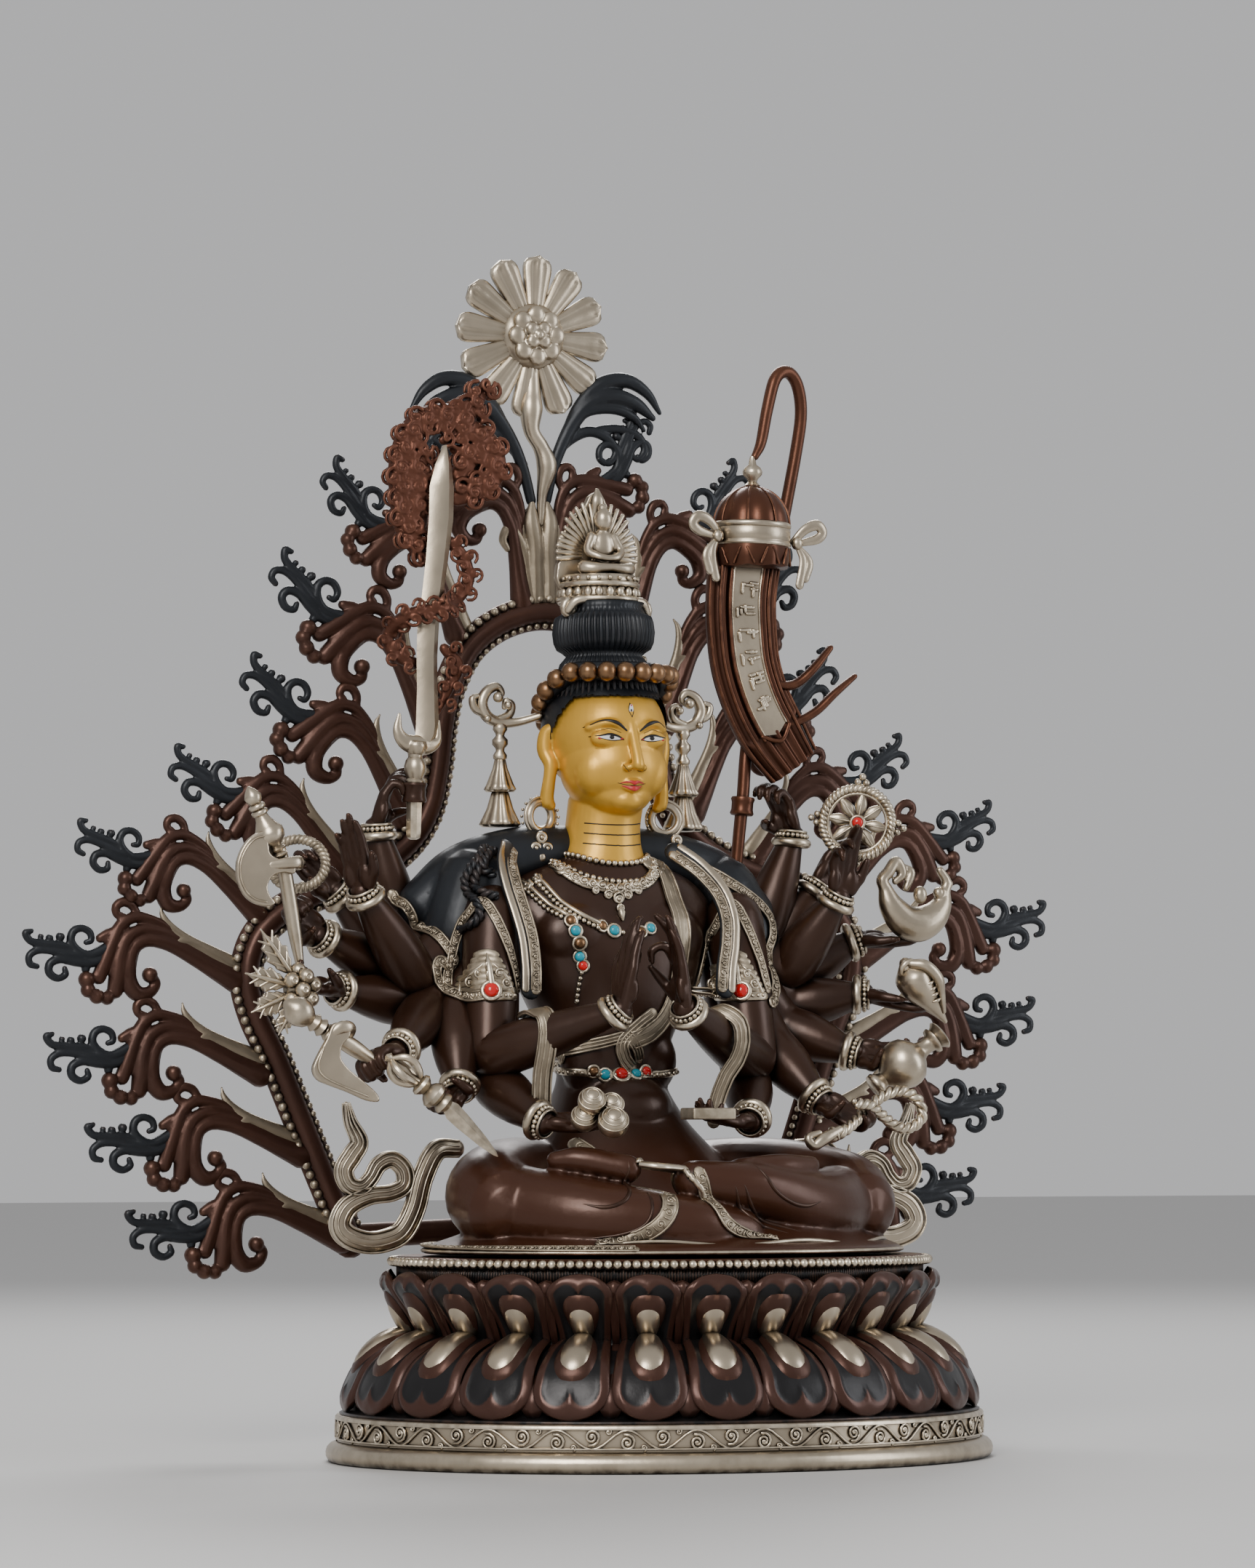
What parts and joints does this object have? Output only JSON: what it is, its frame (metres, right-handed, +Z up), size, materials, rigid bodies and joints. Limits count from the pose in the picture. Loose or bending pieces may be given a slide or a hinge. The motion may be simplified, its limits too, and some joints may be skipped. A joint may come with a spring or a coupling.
{
  "type": "seated many-armed cundi statue",
  "caption": "Seated many-armed deity statue on an oval lotus pedestal, with held emblems and an openwork leafy halo behind.",
  "frame": {"origin": "middle of the pedestal's flat underside", "axes": "+Z up; the figure faces -Y; +X is the right-hand side for someone who looks at the figure's face"},
  "size_m": [0.3991, 0.1942, 0.4264],
  "materials": {
    "dark_copper": "oxidised dark chocolate copper, semi-gloss",
    "red_copper": "reddish brown oxidised copper, semi-gloss",
    "dark_lotus": "blackened copper with brown raised edges",
    "silver": "silver plate, warm and worn, dark in the recesses",
    "blue_black": "blue-black patina, satin",
    "gold_paint": "matte cold gold paint",
    "face_lines": "fine painted lines, matte",
    "aged_bronze": "polished bronze beads",
    "turquoise": "polished blue-green stone",
    "red_stone": "polished red stone"
  },
  "bodies": {
    "root": {"lotus_pedestal": "dark_lotus", "figure": "dark_copper", "arms_right": "dark_copper", "arms_left": "dark_copper", "halo": "dark_copper", "halo_side_right": "dark_copper", "halo_side_left": "dark_copper", "halo_foot": "dark_copper", "halo_flower": "silver", "flaming_sword": "silver", "victory_banner": "red_copper", "axe": "silver", "hooked_goad": "silver", "vajra_dagger": "silver", "citron": "silver", "jewel_vessel": "silver", "conch": "silver", "vase": "silver", "wheel": "silver", "book": "silver", "lap_fruits": "silver", "lasso": "silver", "rosary": "silver", "scarf_scroll_right": "silver", "scarf_scroll_left": "silver", "crown_finial": "silver", "tassel_right_ear": "silver", "ring_right_ear": "silver", "tassel_left_ear": "silver", "ring_left_ear": "silver"}
  },
  "joints": []
}
